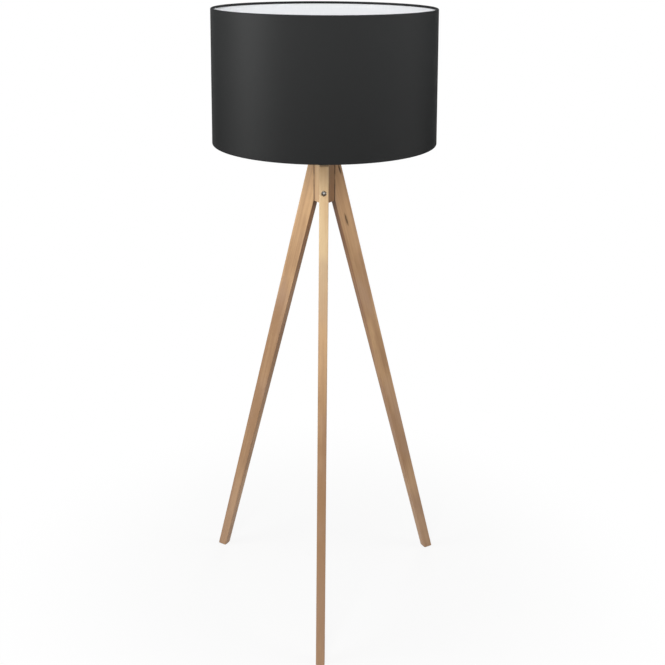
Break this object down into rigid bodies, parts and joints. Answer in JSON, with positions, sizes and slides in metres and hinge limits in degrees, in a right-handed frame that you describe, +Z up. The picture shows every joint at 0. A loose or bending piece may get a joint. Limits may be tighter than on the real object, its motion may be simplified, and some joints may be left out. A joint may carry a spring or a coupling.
{
  "type": "tripod floor lamp",
  "caption": "Floor lamp with straight tapered wooden legs bolted to a six-sided wooden hub, under a wide, slightly flared black fabric drum shade with a white lining.",
  "frame": {"origin": "on the lamp's vertical axis at floor level, at the centre of the circle of the three feet", "axes": "+Z up along the lamp's axis; the front leg points to -Y, the other two to the back left and back right"},
  "size_m": [0.6114, 0.6015, 1.48],
  "materials": {
    "leg_wood": "clear satin lacquer over straight-grained tan wood",
    "hub_wood": "clear satin lacquer over tan wood",
    "dowel_wood": "plain fluted dowel wood",
    "pad_felt": "pressed grey felt",
    "screw_steel": "zinc plated",
    "stem_steel": "zinc plated",
    "black_plastic": "fine moulded texture",
    "terminal_ceramic": "unglazed white",
    "contact_brass": "bare",
    "terminal_steel": "zinc plated",
    "bulb_metal": "nickel coloured",
    "bulb_black_glass": "glossy",
    "bulb_white_plastic": "smooth",
    "bulb_board_metal": "white coated",
    "bulb_opal": "frosted opal",
    "shade_fabric": "fine plain weave",
    "shade_lining": "smooth white film",
    "shade_wire": "white powder coat"
  },
  "bodies": {
    "stand": {"leg_front": "leg_wood", "leg_left": "leg_wood", "leg_right": "leg_wood", "hub": "hub_wood", "leg_dowels": "dowel_wood", "foot_pads": "pad_felt", "leg_bolts": "screw_steel", "bolt_washers": "screw_steel", "hub_inserts": "screw_steel", "stem_tube": "stem_steel", "stem_nut": "stem_steel", "stem_washer_lower": "stem_steel", "stem_washer_upper": "stem_steel", "cable_bush": "black_plastic", "lampholder_cap": "black_plastic", "lampholder_block": "terminal_ceramic", "lampholder_sleeve": "black_plastic", "centre_contact": "contact_brass", "side_contact": "contact_brass", "terminal_screws": "terminal_steel"},
    "shade": {"shade_cover": "shade_fabric", "shade_liner": "shade_lining", "shade_top_ring": "shade_wire", "shade_bottom_ring": "shade_wire", "shade_spokes": "shade_wire", "shade_carrier_plate": "shade_wire"},
    "clamp_ring": {"shade_clamp_ring": "black_plastic"},
    "bulb_end": {"bulb_tip_contact": "contact_brass"},
    "bulb": {"bulb_insulator": "bulb_black_glass", "bulb_cap": "bulb_metal", "bulb_housing": "bulb_white_plastic", "bulb_light_board": "bulb_board_metal", "bulb_diffuser": "bulb_opal"}
  },
  "joints": [
    {"name": "shade_turn", "type": "hinge", "parent": "stand", "child": "shade", "pos_m": [0, 0, 1.1889], "axis": [0, 0, 1], "continuous": true},
    {"name": "clamp_ring_turn", "type": "hinge", "parent": "stand", "child": "clamp_ring", "pos_m": [0, 0, 1.1906], "axis": [0, 0, 1], "range_deg": [0, 720]},
    {"name": "bulb_rise", "type": "slide", "parent": "stand", "child": "bulb_end", "axis": [0, 0, 1], "range_m": [0, 0.0163]},
    {"name": "bulb_turn", "type": "hinge", "parent": "bulb_end", "child": "bulb", "pos_m": [0, 0, 1.178], "axis": [0, 0, 1], "range_deg": [0, 1620]}
  ],
  "couplings": [
    {"joint": "bulb_rise", "follows": "bulb_turn", "m_per_rad": 0.00057296}
  ]
}
